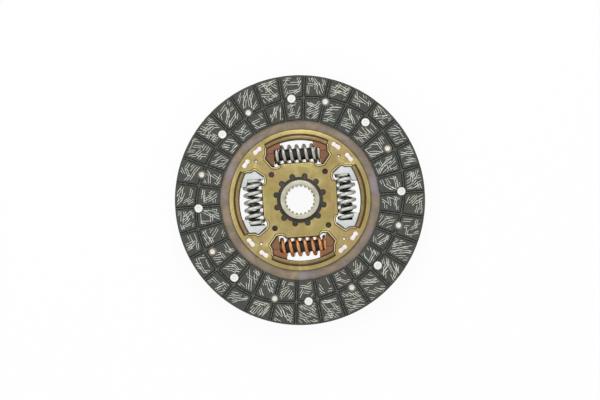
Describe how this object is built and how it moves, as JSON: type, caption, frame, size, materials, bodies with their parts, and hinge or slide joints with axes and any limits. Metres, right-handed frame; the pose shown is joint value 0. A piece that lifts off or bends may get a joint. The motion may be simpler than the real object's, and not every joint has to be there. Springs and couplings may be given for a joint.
{
  "type": "clutch disc",
  "caption": "Round sprung clutch disc: splined hub and flange, torsion springs in seats between two side plates, and grooved friction facings on a waved cushion plate.",
  "frame": {"origin": "centre of the hub's rear (gearbox-side) end face, which is the object's lowest face", "axes": "+Z along the disc's axis, out of its flywheel side; the four spring windows lie on the X and Y axes"},
  "size_m": [0.25, 0.25, 0.034],
  "materials": {
    "facing": "woven moulded friction lining, charcoal green with pale strands",
    "rivet": "bright pressed rivet",
    "cushion_steel": "heat-tinted spring steel",
    "gold_plated_steel": "yellow zinc plating, satin",
    "hub_steel": "turned and broached steel",
    "spacer_steel": "bare steel, staked ends",
    "dark_steel": "dark hardened steel",
    "bush_resin": "black moulded resin",
    "friction_resin": "friction composite",
    "brown_resin": "brown moulded resin",
    "white_resin": "off-white moulded resin",
    "grey_spring": "painted spring steel",
    "copper_spring": "copper-brown painted spring steel",
    "inner_spring": "oiled spring steel",
    "rubber": "black moulded rubber"
  },
  "bodies": {
    "disc": {"front_facing": "facing", "rear_facing": "facing", "front_facing_rivets": "rivet", "rear_facing_rivets": "rivet", "cushion_plate": "cushion_steel", "front_side_plate": "gold_plated_steel", "rear_side_plate": "gold_plated_steel", "front_bush": "bush_resin", "rear_bush": "bush_resin", "friction_washer": "friction_resin", "friction_plate": "dark_steel", "cone_spring": "dark_steel", "spacer_plate_1": "spacer_steel", "spacer_plate_2": "spacer_steel", "spacer_plate_3": "spacer_steel", "spacer_plate_4": "spacer_steel", "top_plate_seat": "brown_resin", "left_plate_seat": "white_resin", "bottom_plate_seat": "brown_resin", "right_plate_seat": "white_resin", "top_spring": "grey_spring", "left_spring": "grey_spring", "right_spring": "grey_spring", "bottom_spring": "copper_spring", "left_inner_spring": "inner_spring", "right_inner_spring": "inner_spring", "top_bumper": "rubber", "bottom_bumper": "rubber"},
    "hub": {"hub": "hub_steel", "top_hub_seat": "brown_resin", "left_hub_seat": "white_resin", "bottom_hub_seat": "brown_resin", "right_hub_seat": "white_resin"}
  },
  "joints": [
    {"name": "damper_twist", "type": "hinge", "parent": "disc", "child": "hub", "pos_m": [0, 0, 0.017], "axis": [0, 0, 1], "range_deg": [0, 10], "stiffness_Nm_per_rad": 25, "deforming": ["top_spring", "left_spring", "bottom_spring", "right_spring", "left_inner_spring", "right_inner_spring", "top_bumper", "bottom_bumper"]}
  ]
}
